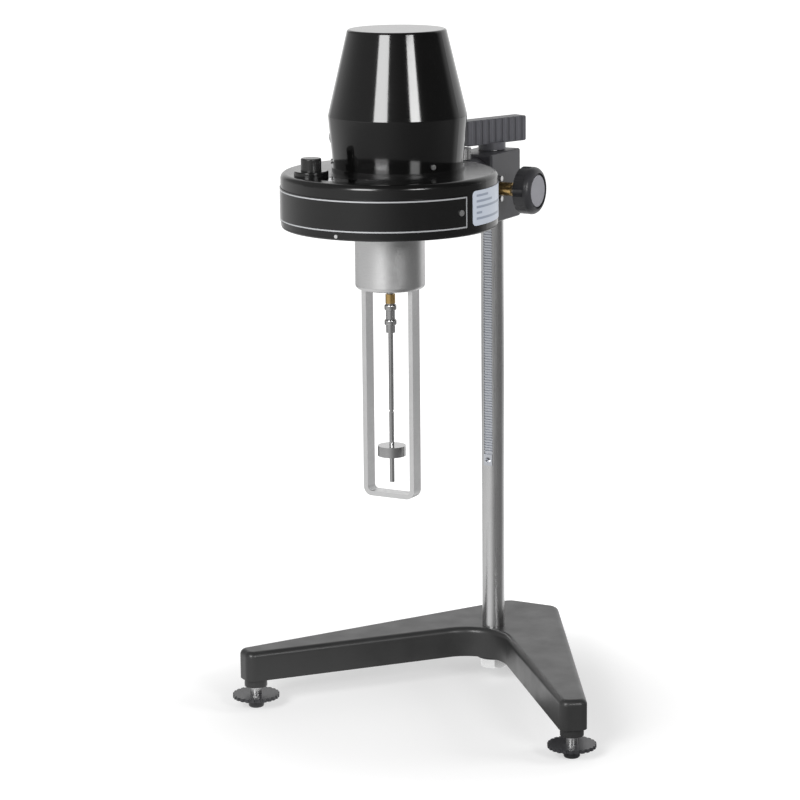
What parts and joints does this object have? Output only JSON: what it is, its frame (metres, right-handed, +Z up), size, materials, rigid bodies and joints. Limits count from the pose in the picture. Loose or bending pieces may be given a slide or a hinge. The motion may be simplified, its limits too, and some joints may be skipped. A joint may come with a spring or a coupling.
{
  "type": "rotational viscometer",
  "caption": "Dial rotational viscometer: a motor-driven drum head with disc spindle and guard, on a rack-and-pinion column with a V-shaped levelling base.",
  "frame": {"origin": "bottom centre of the bounding box, on the surface the levelling feet stand on", "axes": "+Z up along the column, -Y towards the front where the measuring head hangs, +X to the side of the lift knob"},
  "size_m": [0.2778, 0.2876, 0.4803],
  "materials": {
    "black_enamel": "satin",
    "ground_steel": "fine satin",
    "bright_plating": "bright",
    "rack_steel": "milled",
    "dark_moulding": "satin",
    "grey_enamel": "satin",
    "brass": "turned",
    "light_cap": "satin",
    "gloss_black_enamel": "gloss",
    "black_strip": "gloss with a light border",
    "pale_film": "smooth",
    "clear_glass": "clear",
    "motor_can": "satin",
    "white_dial": "satin",
    "spring_bronze": "bright",
    "red_pointer": "satin",
    "bright_steel": "turned",
    "satin_aluminium": "satin",
    "button_black": "gloss",
    "spring_steel": "bright",
    "level_glass": "clear"
  },
  "bodies": {
    "stand": {"base_casting": "black_enamel", "column": "ground_steel", "column_nut": "bright_plating", "rack_strip": "rack_steel"},
    "column_grip": {"column_handle": "dark_moulding", "column_handle_stud": "bright_plating"},
    "carriage": {"lift_carriage": "grey_enamel", "pinion_bearing_plug": "grey_enamel", "pinion_bushes": "brass", "bearing_plug_screws": "bright_plating", "friction_pad": "brass", "friction_screw": "bright_plating"},
    "pinion": {"pinion_shaft": "ground_steel", "pinion_gear": "ground_steel", "lift_knob": "dark_moulding", "lift_knob_cap": "light_cap"},
    "rod_clamp": {"rod_clamp_screw": "bright_plating"},
    "head": {"handle_rod": "ground_steel", "rod_nut": "bright_plating", "drum_housing": "gloss_black_enamel", "drum_screws": "bright_plating", "nameplate_strip": "black_strip", "side_sticker": "pale_film", "top_cover": "gloss_black_enamel", "window_glass": "clear_glass", "hood_base_ring": "gloss_black_enamel", "hood_screws": "bright_plating", "motor_hood": "gloss_black_enamel", "power_inlet": "dark_moulding", "switch_body": "dark_moulding", "gearbox_lower_plate": "brass", "gearbox_upper_plate": "brass", "gearbox_posts": "ground_steel", "motor_body": "motor_can", "neck_collar": "satin_aluminium", "lower_bearing": "brass", "guard_frame": "satin_aluminium", "lock_collar": "gloss_black_enamel", "lock_spring": "spring_steel", "level_housing": "bright_plating", "level_glass": "level_glass"},
    "rocker": {"power_rocker": "dark_moulding"},
    "speed_knob": {"speed_knob": "dark_moulding"},
    "motor_pinion": {"motor_pinion": "brass"},
    "lay_gear": {"lay_gear": "brass"},
    "dial": {"drive_gear": "brass", "drive_shaft": "ground_steel", "dial_plate": "white_dial", "hairspring": "spring_bronze"},
    "needle": {"pointer": "red_pointer", "pivot_shaft": "ground_steel", "spindle_nut": "brass", "spindle": "bright_steel"},
    "lock_button": {"lock_button": "button_black"},
    "front_left_foot": {"front_left_foot_wheel": "dark_moulding", "front_left_foot_screw": "bright_plating"},
    "front_right_foot": {"front_right_foot_wheel": "dark_moulding", "front_right_foot_screw": "bright_plating"},
    "rear_foot": {"rear_foot_wheel": "dark_moulding", "rear_foot_screw": "bright_plating"}
  },
  "joints": [
    {"name": "carriage_lift", "type": "slide", "parent": "stand", "child": "carriage", "axis": [0, 0, 1], "range_m": [-0.15, 0]},
    {"name": "lift_knob_turn", "type": "hinge", "parent": "carriage", "child": "pinion", "pos_m": [0, 0.0608, 0.361], "axis": [1, 0, 0], "range_deg": [0, 896]},
    {"name": "front_left_foot_turn", "type": "hinge", "parent": "stand", "child": "front_left_foot", "pos_m": [-0.1225, -0.0509, 0.02], "axis": [0, 0, 1], "range_deg": [-180, 180]},
    {"name": "front_right_foot_turn", "type": "hinge", "parent": "stand", "child": "front_right_foot", "pos_m": [0.1225, -0.0509, 0.02], "axis": [0, 0, 1], "range_deg": [-180, 180]},
    {"name": "rear_foot_turn", "type": "hinge", "parent": "stand", "child": "rear_foot", "pos_m": [0, 0.1218, 0.02], "axis": [0, 0, 1], "range_deg": [-180, 180]},
    {"name": "column_handle_turn", "type": "hinge", "parent": "stand", "child": "column_grip", "pos_m": [0, 0.0778, 0.386], "axis": [0, 0, 1], "range_deg": [-180, 180]},
    {"name": "rod_clamp_turn", "type": "hinge", "parent": "carriage", "child": "rod_clamp", "pos_m": [0, 0.0318, 0.384], "axis": [0, 0, 1], "range_deg": [0, 360]},
    {"name": "head_rod_slide", "type": "slide", "parent": "carriage", "child": "head", "axis": [0, -1, 0], "range_m": [0, 0.02]},
    {"name": "dial_turn", "type": "hinge", "parent": "head", "child": "dial", "pos_m": [0, -0.0722, 0.38], "axis": [0, 0, 1], "continuous": true},
    {"name": "pointer_swing", "type": "hinge", "parent": "dial", "child": "needle", "pos_m": [0, -0.0722, 0.383], "axis": [0, 0, 1], "range_deg": [0, 300], "stiffness_Nm_per_rad": 0.000013, "deforming": ["hairspring"]},
    {"name": "motor_turn", "type": "hinge", "parent": "head", "child": "motor_pinion", "pos_m": [0, -0.0482, 0.407], "axis": [0, 0, 1], "continuous": true},
    {"name": "lay_gear_turn", "type": "hinge", "parent": "head", "child": "lay_gear", "pos_m": [0.02338, -0.0587, 0.407], "axis": [0, 0, 1], "continuous": true},
    {"name": "speed_knob_turn", "type": "hinge", "parent": "head", "child": "speed_knob", "pos_m": [0, -0.0597, 0.4063], "axis": [-0.9659, 0.2588, 0], "range_deg": [0, 270]},
    {"name": "lock_press", "type": "slide", "parent": "head", "child": "lock_button", "axis": [0, 0, -1], "range_m": [0, 0.0028], "stiffness_N_per_m": 200, "springref_m": -0.004, "deforming": ["lock_spring"]},
    {"name": "power_rocker_tilt", "type": "hinge", "parent": "head", "child": "rocker", "pos_m": [-0.0155, -0.02132, 0.4108], "axis": [-0.9272, -0.3746, 0], "range_deg": [-16, 0]}
  ],
  "couplings": [
    {"joint": "lift_knob_turn", "follows": "carriage_lift", "rad_per_m": -104.17},
    {"joint": "motor_turn", "follows": "dial_turn", "ratio": -3},
    {"joint": "lay_gear_turn", "follows": "dial_turn", "ratio": -2}
  ]
}
